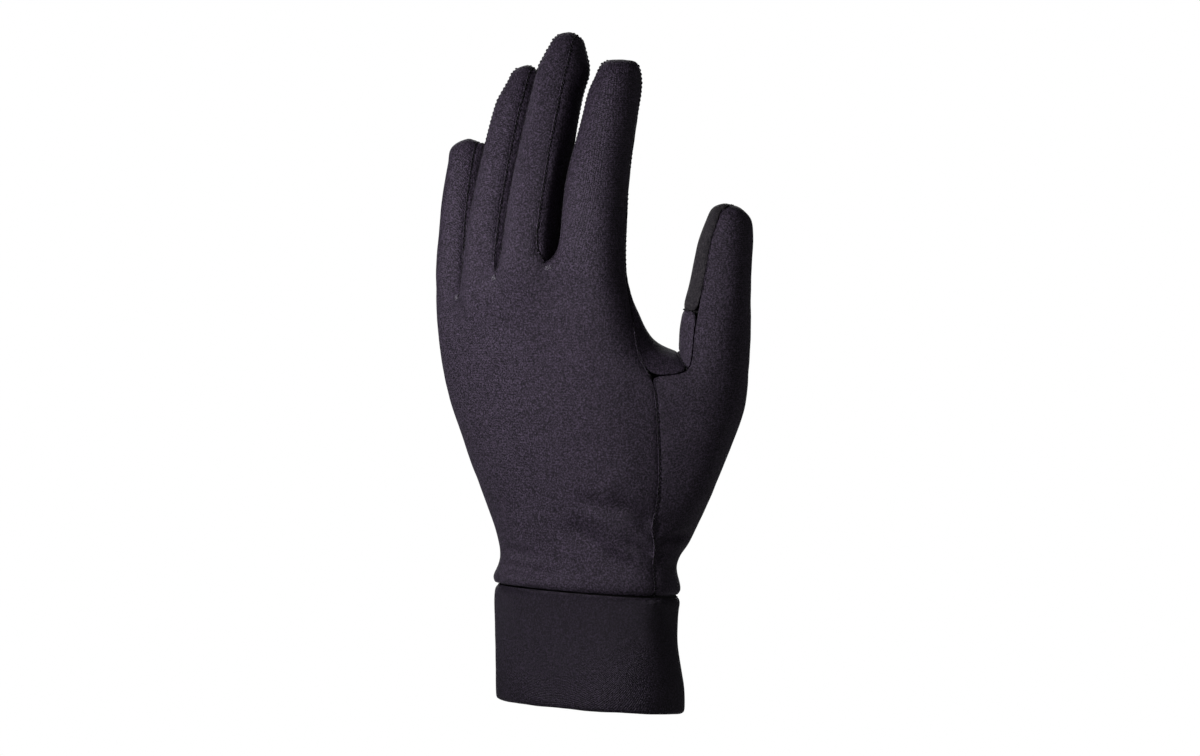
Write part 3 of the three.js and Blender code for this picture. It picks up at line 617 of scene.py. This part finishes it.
def wrinkle_at(point, outward):
    """Height of the listed wrinkles at a point of the outer sheet."""
    facing = outward.dot(VIEW_BACK)
    if facing <= 0:
        return 0.0
    here = Vector((point.dot(VIEW_RIGHT), point.z)) / MM
    total = 0.0
    for from_u, from_z, to_u, to_z, height, spread in WRINKLES:
        start = Vector((from_u, from_z))
        run = Vector((to_u, to_z)) - start
        share = (here - start).dot(run) / run.length_squared
        clipped = min(max(share, 0.0), 1.0)
        across = (here - start - run * clipped).length
        if across < spread * WRINKLE_REACH:
            taper = 1 - (2 * clipped - 1) ** 4 * WRINKLE_TAPER
            total += height * taper * math.exp(-(across / spread) ** 2)
    return total * MM * min(1.0, facing * WRINKLE_FACING)


def eased(share):
    """A soft step from 0 to 1."""
    share = min(max(share, 0.0), 1.0)
    return share * share * (3 - 2 * share)


def finger_push(point):
    """How the index finger's side leans towards the middle finger, and how the tips are drawn."""
    height = point.z / MM
    aside = point.dot(VIEW_RIGHT) / MM
    beside = (np.interp(height, INDEX_HEIGHTS, INDEX_MIDDLE) - aside) / INDEX_HALF
    rise = eased((height - PUSH_FROM) / PUSH_RISE) * eased((PUSH_TO - height) / PUSH_FALL)
    own = eased((point.x / MM + PUSH_SIDE) / PUSH_SIDE)
    push = VIEW_RIGHT * (-INDEX_PUSH * MM * eased(beside) * rise * own)
    for u, z, right, up, reach in TIP_CORNERS:
        away = ((aside - u) ** 2 + (height - z) ** 2) / reach ** 2
        if away < TIP_REACH:
            push += (VIEW_RIGHT * right + UP * up) * MM * math.exp(-away)
    return push


def relief_at(point, outward, seams):
    """How far the cloth stands out of its smooth form at a point of the outer sheet."""
    size = sizes()
    wave = noise.noise(point / LONG_WAVE) * size.unevenness
    wave += noise.noise(point / SHORT_WAVE + SHORT_SHIFT) * size.unevenness * SHORT_SHARE
    wave += wrinkle_at(point, outward)
    _, index, distance = seams["tree"].find(point)
    along = seams["lengths"][index]
    pull = size.pucker * math.sin(2 * math.pi * along / (size.stitch_pitch * 2))
    pull *= math.exp(-distance / PUCKER_FADE)
    sunk = size.tuck * math.exp(-(distance / TUCK_FADE) ** 2)
    return wave * min(1.0, distance / WAVE_FADE) + pull - sunk


def looks_out(run):
    """True for an edge run whose sheet looks away from the glove's axis."""
    return sum(point.x * outward.x + point.y * outward.y for point, outward in run) > 0


seam_store = {}


def find_seams():
    """Finds all seams once and keeps them for the relief, the turned-in cloth and the stitches."""
    if seam_store:
        return seam_store
    borders = {}
    for node in (*HAND_PANELS, *FINGER_STRIPS, *TOUCH_PATCHES, CUFF):
        work = panel_mesh(node)
        borders[node] = wall_borders(work)
        work.free()
    seam_store["runs"] = seam_runs(borders)
    seam_store["cuff_rims"] = [run for run in borders[CUFF] if looks_out(run)]
    points = []
    lengths = []
    for run in [run for _, _, run in seam_store["runs"]] + seam_store["cuff_rims"]:
        for number, (point, _, _) in enumerate(even_steps(run, SEAM_STEP)):
            points.append(point)
            lengths.append(number * SEAM_STEP)
    seam_store["lengths"] = lengths
    seam_store["tree"] = point_tree(points)
    return seam_store


def smooth(piece):
    """Applies a subdivision surface to the piece."""
    modifier = piece.modifiers.new("Smooth cloth", "SUBSURF")
    modifier.levels = CLOTH_LEVELS
    modifier.render_levels = CLOTH_LEVELS
    finished = evaluated_mesh(piece)
    piece.modifiers.clear()
    old = piece.data
    piece.data = finished
    bpy.data.meshes.remove(old)


def raise_relief(piece):
    """Moves the sheets' points out and in by the cloth's relief, and all by the fingers' push."""
    seams = find_seams()
    work = bmesh.new()
    work.from_mesh(piece.data)
    work.normal_update()
    layer = work.faces.layers.int["wall"]
    moves = []
    for vert in work.verts:
        kinds = {face[layer] for face in vert.link_faces}
        move = finger_push(vert.co)
        if WALL_OUTER in kinds:
            move += vert.normal * relief_at(vert.co, vert.normal, seams)
        elif kinds == {WALL_INNER}:
            move -= vert.normal * relief_at(vert.co, -vert.normal, seams)
        moves.append((vert, move))
    for vert, move in moves:
        vert.co += move
    work.normal_update()
    work.to_mesh(piece.data)
    work.free()


def sewn_panel(node, name, material, round_piece=False):
    """One cloth panel with rolled edges, its knit map and its relief, in place of its node."""
    work = panel_mesh(node)
    layer = work.faces.layers.int["wall"]
    rims = [e for e in work.edges if len({face[layer] for face in e.link_faces}) > 1]
    bmesh.ops.bevel(
        work, geom=rims, offset=sizes().edge_roll, offset_type="OFFSET", segments=2,
        profile=0.5, affect="EDGES", clamp_overlap=False, material=-1)
    mark_cuts(work, round_piece)
    piece = finished_piece(name, work)
    piece.data.attributes.remove(piece.data.attributes["custom_normal"])
    lay_flat(piece)
    smooth(piece)
    raise_relief(piece)
    piece.data.materials.clear()
    piece.data.materials.append(material)
    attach(piece, BODY)
    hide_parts(node)
    return piece


# Materials

def set_inputs(node, values):
    """Gives a node's named inputs their values."""
    for key, value in values.items():
        node.inputs[key].default_value = value


def node_maker(tree):
    """Short hands for adding nodes, wires, sums, noise and bumps to a node tree."""
    def add(kind, **settings):
        made = tree.nodes.new(kind)
        for key, value in settings.items():
            setattr(made, key, value)
        return made

    def wire(source, target):
        tree.links.new(source, target)

    def reckon(operation, *values):
        made = add("ShaderNodeMath", operation=operation)
        for slot, value in enumerate(values):
            if isinstance(value, (int, float)):
                made.inputs[slot].default_value = value
            else:
                wire(value, made.inputs[slot])
        return made.outputs[0]

    def speckle(place, texture):
        made = add("ShaderNodeTexNoise")
        set_inputs(made, {"Scale": texture[0], "Detail": texture[1]})
        wire(place, made.inputs["Vector"])
        return made.outputs["Fac"]

    def emboss(height, relief, shader):
        made = add("ShaderNodeBump")
        set_inputs(made, {"Strength": relief[0], "Distance": relief[1]})
        wire(height, made.inputs["Height"])
        wire(made.outputs["Normal"], shader.inputs["Normal"])

    return add, wire, reckon, speckle, emboss


def new_material(name, gloss):
    """A material with its node tree and its shader."""
    material = bpy.data.materials.new(name)
    material.use_nodes = True
    tree = material.node_tree
    shader = tree.nodes["Principled BSDF"]
    set_inputs(shader, gloss)
    return material, tree, shader


def knit_material(name, colour, grain, sheen, fineness):
    """Stretch knit: columns of V loops, fine fibres, slight change of colour from place to place."""
    material, tree, shader = new_material(name, {**KNIT_GLOSS, "Sheen Weight": sheen})
    add, wire, reckon, speckle, emboss = node_maker(tree)
    place = add("ShaderNodeTexCoord")
    flat = add("ShaderNodeSeparateXYZ")
    wire(place.outputs["UV"], flat.inputs[0])
    size = sizes()
    across = reckon("DIVIDE", flat.outputs["X"], size.wale * fineness)
    upward = reckon("DIVIDE", flat.outputs["Y"], size.course * fineness)
    side = reckon("ABSOLUTE", reckon("SUBTRACT", reckon("FRACT", across), 0.5))
    leg = reckon("SINE", reckon("MULTIPLY", side, 2 * math.pi))
    slant = reckon("SUBTRACT", upward, reckon("MULTIPLY", side, LOOP_SLANT))
    loop = reckon("SINE", reckon("MULTIPLY", slant, 2 * math.pi))
    loop = reckon("ADD", reckon("MULTIPLY", loop, LOOP_DEPTH), 1 - LOOP_DEPTH)
    knit = reckon("MULTIPLY", leg, loop)

    fibre = speckle(place.outputs["Object"], FIBRE_NOISE)
    speck = speckle(place.outputs["Object"], SPECK_NOISE)
    relief = reckon("MULTIPLY", knit, KNIT_HEIGHT)
    relief = reckon("ADD", relief, reckon("MULTIPLY", fibre, FIBRE_HEIGHT))
    relief = reckon("ADD", relief, reckon("MULTIPLY", speck, SPECK_HEIGHT))
    emboss(relief, KNIT_BUMP, shader)

    patch = speckle(place.outputs["Object"], PATCH_NOISE)
    shade = reckon("ADD", reckon("MULTIPLY", patch, PATCH_SHADE), PATCH_BASE)
    lighter = reckon("MULTIPLY", reckon("SUBTRACT", speck, 0.5), grain)
    shade = reckon("ADD", shade, lighter)
    lighter = reckon("MULTIPLY", reckon("SUBTRACT", knit, KNIT_MEAN), KNIT_SHADE)
    shade = reckon("ADD", shade, lighter)
    shade = reckon("MAXIMUM", shade, DARKEST_SHADE)
    tint = add("ShaderNodeMix", data_type="RGBA", blend_type="MULTIPLY")
    tint.inputs["Factor"].default_value = 1.0
    tint.inputs[MIX_A].default_value = (*colour, 1)
    grey = add("ShaderNodeCombineColor")
    for channel in range(3):
        wire(shade, grey.inputs[channel])
    wire(grey.outputs[0], tint.inputs[MIX_B])
    wire(tint.outputs[MIX_RESULT], shader.inputs["Base Color"])
    return material


def thread_material(name, colour):
    """Twisted sewing thread."""
    material, tree, shader = new_material(name, THREAD_GLOSS)
    add, wire, _, speckle, emboss = node_maker(tree)
    place = add("ShaderNodeTexCoord")
    twist = speckle(place.outputs["Object"], TWIST_NOISE)
    emboss(twist, THREAD_BUMP, shader)
    ramp = add("ShaderNodeMix", data_type="RGBA")
    ramp.inputs[MIX_A].default_value = (*[c * THREAD_DARK for c in colour], 1)
    ramp.inputs[MIX_B].default_value = (*[c * THREAD_LIGHT for c in colour], 1)
    wire(twist, ramp.inputs["Factor"])
    wire(ramp.outputs[MIX_RESULT], shader.inputs["Base Color"])
    return material


def finish_named(name):
    """The material of one finish, made on first use."""
    ready = bpy.data.materials.get(name)
    if ready:
        return ready
    colour = colours()
    knits = {
        # colour, strength of the grain, sheen, size of the loops beside the hand's
        "hand_knit_finish": (colour.hand_knit, 8.0, 0.03, 1.0),
        "cuff_knit_finish": (colour.cuff_knit, 8.0, 0.02, 1.0),
        "touch_knit_finish": (colour.touch_knit, 6.0, 0.02, 0.8),
    }
    threads = {
        "tack_finish": colour.tack,
        # Deep black turned-in cloth: painted shade down in the seams and the cuff's groove
        "turned_in_finish": colour.turned_in_painted_shade,
        # Stitch thread darker than the knit: partly black thread, partly painted shade of the stitch
        # holes
        "thread_finish": colour.thread,
    }
    if name in knits:
        return knit_material(name, *knits[name])
    return thread_material(name, threads[name])


# Seams: the turned-in cloth, the stitches and the tacks

def core_line(curve, path, closed, swell=1.0):
    """Adds one line of turned-in cloth to the curve."""
    spline = curve.splines.new("POLY")
    spline.points.add(len(path) - 1)
    spline.use_cyclic_u = closed
    for spot, point in zip(spline.points, path):
        spot.co = (*point, 1)
        spot.radius = swell


def groove_point(point, outward, core):
    """A place behind the groove between the cuff and the hand."""
    level = Vector((outward.x, outward.y, 0)).normalized()
    return point - level * core * GROOVE_DEPTH + UP * core * GROOVE_RISE


def corner_fill(point, outward, core):
    """A short line inwards from the place where seams meet, which closes the corner."""
    return [point - outward * core * depth for depth in CORNER_DEPTHS]


def lay_cores():
    """The turned-in cloth under all seams and behind the cuff's groove, as one piece, coloured deep
    black as painted shade in the grooves.
    """
    size = sizes()
    curve = bpy.data.curves.new("seam_core_path", "CURVE")
    curve.dimensions = "3D"
    curve.bevel_depth = size.seam_core / 2
    curve.bevel_resolution = 1
    curve.use_fill_caps = True
    depth = size.seam_core * CORE_DEPTH + size.tuck
    ends = []
    for _, _, run in find_seams()["runs"]:
        spaced = even_steps(run, CORE_STEP)
        path = [point + finger_push(point) - outward * depth for point, outward, _ in spaced]
        point, outward, forward = spaced[0]
        if path[0].z > CUFF_JOIN:
            path.insert(0, path[0] - forward * size.seam_core)
            ends.append((point, outward))
        point, outward, forward = spaced[-1]
        if path[-1].z > CUFF_JOIN:
            path.append(path[-1] + forward * size.seam_core)
            ends.append((point, outward))
        core_line(curve, path, False)
    for point, outward in ends:
        core_line(curve, corner_fill(point, outward, size.seam_core), False, CORNER_SWELL)
    for run in find_seams()["cuff_rims"]:
        groove = [groove_point(*spot, size.seam_core) for spot in run[:-1]]
        core_line(curve, groove, True, GROOVE_SWELL)
    guide = new_object("seam_core_path", curve)
    mesh = evaluated_mesh(guide)
    bpy.data.objects.remove(guide)
    core = new_object("seam_core", mesh)
    # Its deep black colour is painted shade in the seams and behind the cuff's groove
    core.data.materials.clear()
    core.data.materials.append(finish_named("turned_in_finish"))
    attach(core, BODY)


def stitch_mesh(thread, stretch):
    """One stitch: a short thread that dips at both ends."""
    work = bmesh.new()
    bmesh.ops.create_uvsphere(work, u_segments=6, v_segments=5, radius=thread / 2)
    for vert in work.verts:
        vert.co = (vert.co.z, vert.co.x, vert.co.y)
    bmesh.ops.scale(work, verts=work.verts, vec=(stretch, 1, 1))
    for vert in work.verts:
        vert.co.z -= vert.co.x ** 2 / (thread * STITCH_BEND)
    bmesh.ops.recalc_face_normals(work, faces=work.faces)
    mesh = bpy.data.meshes.new("stitch_shape")
    work.to_mesh(mesh)
    work.free()
    return mesh


def lay_stitch(work, single, place, outward, forward):
    """Adds a copy of one stitch to the mesh, lying on the cloth in the given direction."""
    across = outward.cross(forward).normalized()
    lengthwise = across.cross(outward).normalized()
    turn = Matrix((lengthwise, across, outward)).transposed().to_4x4()
    laid = Matrix.Translation(place) @ turn
    single.transform(laid)
    work.from_mesh(single)
    single.transform(laid.inverted())


def lay_stitches():
    """The dashes of thread along all seams, as one piece: black thread, coloured darker than the
    knit so that the dashes also paint the shade of the stitch holes.
    """
    size = sizes()
    single = stitch_mesh(size.thread, STITCH_STRETCH)
    work = bmesh.new()
    sunk = size.tuck * STITCH_DEPTH
    for _, _, run in find_seams()["runs"]:
        for point, outward, forward in even_steps(run, size.stitch_pitch)[:-1]:
            place = point + finger_push(point) - outward * sunk
            lay_stitch(work, single, place, outward, forward)
    bpy.data.meshes.remove(single)
    stitches = finished_piece("seam_stitches", work)
    # Near black: partly the black thread, partly painted shade of the stitch holes
    stitches.data.materials.append(finish_named("thread_finish"))
    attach(stitches, BODY)


def lay_tacks():
    """The crossed threads at the strips' lower ends on the back of the hand, as one piece."""
    size = sizes()
    single = stitch_mesh(size.tack, TACK_STRETCH)
    work = bmesh.new()
    work.from_mesh(frame["nodes"]["back_panel"].data)
    back = BVHTree.FromBMesh(work)
    work.clear()
    for first, second, run in find_seams()["runs"]:
        if first != "back_panel" or second not in FINGER_STRIPS:
            continue
        lowest, leaning = min(run, key=lambda spot: spot[0].z)
        away = Vector((leaning.x, leaning.y, 0)).normalized()
        level = UP.cross(away)
        for turn, aside, lift in TACKS:
            angle = math.radians(turn)
            forward = level * math.cos(angle) + UP * math.sin(angle)
            start = lowest + (level * aside + UP * lift) * MM + away * TACK_START
            place, outward, _, _ = back.ray_cast(start, -away, TACK_REACH)
            if place is not None:
                raised = place + outward * size.tack * TACK_LIFT
                lay_stitch(work, single, raised, outward, forward)
    bpy.data.meshes.remove(single)
    tacks = finished_piece("strip_tacks", work)
    tacks.data.materials.append(finish_named("tack_finish"))
    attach(tacks, BODY)


# Studio

def lay_floor(light):
    """A round pale floor, white to the camera, so that it stays pale from every side."""
    work = bmesh.new()
    bmesh.ops.create_circle(work, cap_ends=True, segments=96, radius=light.floor_reach)
    bmesh.ops.translate(work, verts=work.verts, vec=(0, 0, -light.floor_drop))
    floor = finished_piece("studio_floor", work, rounded=False)
    paint, tree, shader = new_material("pale_floor", FLOOR_GLOSS)
    ray = tree.nodes.new("ShaderNodeLightPath")
    tree.links.new(ray.outputs["Is Camera Ray"], shader.inputs["Emission Strength"])
    floor.data.materials.append(paint)


def fill_room(light):
    """Surroundings that the camera sees as white and that light the glove weakly."""
    world = bpy.data.worlds.new("white_room")
    world.use_nodes = True
    tree = world.node_tree
    add, wire, reckon, _, _ = node_maker(tree)
    backing = tree.nodes["Background"]
    backing.inputs["Color"].default_value = (1, 1, 1, 1)
    seen = add("ShaderNodeLightPath").outputs["Is Camera Ray"]
    unseen = reckon("MULTIPLY", reckon("SUBTRACT", 1.0, seen), light.surroundings)
    wire(reckon("ADD", seen, unseen), backing.inputs["Strength"])
    bpy.context.scene.world = world


def hang_lamp(name, place, target, width, power, colour):
    """A soft square lamp that looks at a point and is hidden from the camera."""
    lamp = bpy.data.lights.new(name, "AREA")
    lamp.shape = "SQUARE"
    lamp.size = width
    lamp.energy = power
    lamp.color = colour
    lamp_object = new_object(name, lamp)
    lamp_object.location = place
    lamp_object.rotation_euler = (target - place).to_track_quat("-Z", "Y").to_euler()
    lamp_object.visible_camera = False


def set_camera(distance):
    """The camera in front of the glove, which shows what the photo's frame shows."""
    back = (VIEW_BACK * math.cos(VIEW_RISE) + UP * math.sin(VIEW_RISE)).normalized()
    up = VIEW_RIGHT.cross(-back).normalized()
    looked_at = VIEW_RIGHT * FRAME_MIDDLE[0] + up * FRAME_MIDDLE[1]
    camera = bpy.data.cameras.new("front_camera")
    camera.sensor_width = SENSOR
    camera.lens = SENSOR * distance / FRAME_WIDTH
    camera.clip_start, camera.clip_end = CAMERA_CLIP
    camera_object = new_object("front_camera", camera)
    camera_object.location = looked_at + back * distance
    camera_object.rotation_euler = (-back).to_track_quat("-Z", "Y").to_euler()
    bpy.context.scene.camera = camera_object


# Operators

class GLOVE_OT_hand_panels(bpy.types.Operator):
    """Back, palm and thumb panels"""
    bl_idname = "glove.hand_panels"
    bl_label = "Hand panels"

    def execute(self, context):
        for node in HAND_PANELS:
            piece = sewn_panel(node, node + "_cloth", finish_named("hand_knit_finish"))
        return {"FINISHED"}


class GLOVE_OT_finger_strips(bpy.types.Operator):
    """The side strips between the fingers"""
    bl_idname = "glove.finger_strips"
    bl_label = "Finger strips"

    def execute(self, context):
        for node in FINGER_STRIPS:
            piece = sewn_panel(node, node + "_cloth", finish_named("hand_knit_finish"))
        return {"FINISHED"}


class GLOVE_OT_touch_patches(bpy.types.Operator):
    """The conductive knit on the thumb and the index finger"""
    bl_idname = "glove.touch_patches"
    bl_label = "Touch patches"

    def execute(self, context):
        for node in TOUCH_PATCHES:
            piece = sewn_panel(node, node + "_cloth", finish_named("touch_knit_finish"))
        return {"FINISHED"}


class GLOVE_OT_cuff(bpy.types.Operator):
    """The deep cuff, folded double"""
    bl_idname = "glove.cuff"
    bl_label = "Cuff"

    def execute(self, context):
        piece = sewn_panel(CUFF, CUFF + "_cloth", finish_named("cuff_knit_finish"), True)
        return {"FINISHED"}


class GLOVE_OT_seams(bpy.types.Operator):
    """The turned-in cloth under each seam, the stitches along it and the strips' tacks"""
    bl_idname = "glove.seams"
    bl_label = "Seams"

    def execute(self, context):
        lay_cores()
        lay_stitches()
        lay_tacks()
        return {"FINISHED"}


class GLOVE_OT_studio(bpy.types.Operator):
    """Pale floor, soft lamps, white surroundings and the camera"""
    bl_idname = "glove.studio"
    bl_label = "Studio"

    def execute(self, context):
        light = context.scene.glove_studio
        lay_floor(light)
        fill_room(light)
        for name, right, towards, up, aim, width, power, colour in LAMPS:
            place = VIEW_RIGHT * right + VIEW_BACK * towards + UP * up
            hang_lamp(name, place, UP * aim, width, getattr(light, power), colour)
        set_camera(light.camera_distance)
        context.scene.view_settings.view_transform = "Standard"
        return {"FINISHED"}


class GLOVE_PT_panel(bpy.types.Panel):
    """Lists the settings and the steps that dress the glove liner"""
    bl_label = "Glove Liner"
    bl_idname = "GLOVE_PT_panel"
    bl_space_type = "VIEW_3D"
    bl_region_type = "UI"
    bl_category = "Glove Liner"

    def draw(self, context):
        for group in ("glove_sizes", "glove_colours", "glove_studio"):
            settings = getattr(context.scene, group)
            for key in settings.__annotations__:
                self.layout.prop(settings, key)
        for step in STEPS:
            self.layout.operator(step.bl_idname)


STEPS = (
    GLOVE_OT_hand_panels,
    GLOVE_OT_finger_strips,
    GLOVE_OT_touch_patches,
    GLOVE_OT_cuff,
    GLOVE_OT_seams,
    GLOVE_OT_studio,
)
CLASSES = (ClothSizes, ClothColours, StudioLight, *STEPS, GLOVE_PT_panel)


def register():
    for cls in CLASSES:
        bpy.utils.register_class(cls)
    bpy.types.Scene.glove_sizes = PointerProperty(type=ClothSizes)
    bpy.types.Scene.glove_colours = PointerProperty(type=ClothColours)
    bpy.types.Scene.glove_studio = PointerProperty(type=StudioLight)


def unregister():
    del bpy.types.Scene.glove_studio
    del bpy.types.Scene.glove_colours
    del bpy.types.Scene.glove_sizes
    for cls in reversed(CLASSES):
        bpy.utils.unregister_class(cls)


def main():
    register()
    bpy.ops.glove.hand_panels()
    bpy.ops.glove.finger_strips()
    bpy.ops.glove.touch_patches()
    bpy.ops.glove.cuff()
    bpy.ops.glove.seams()
    bpy.ops.glove.studio()


if __name__ == "__main__":
    main()
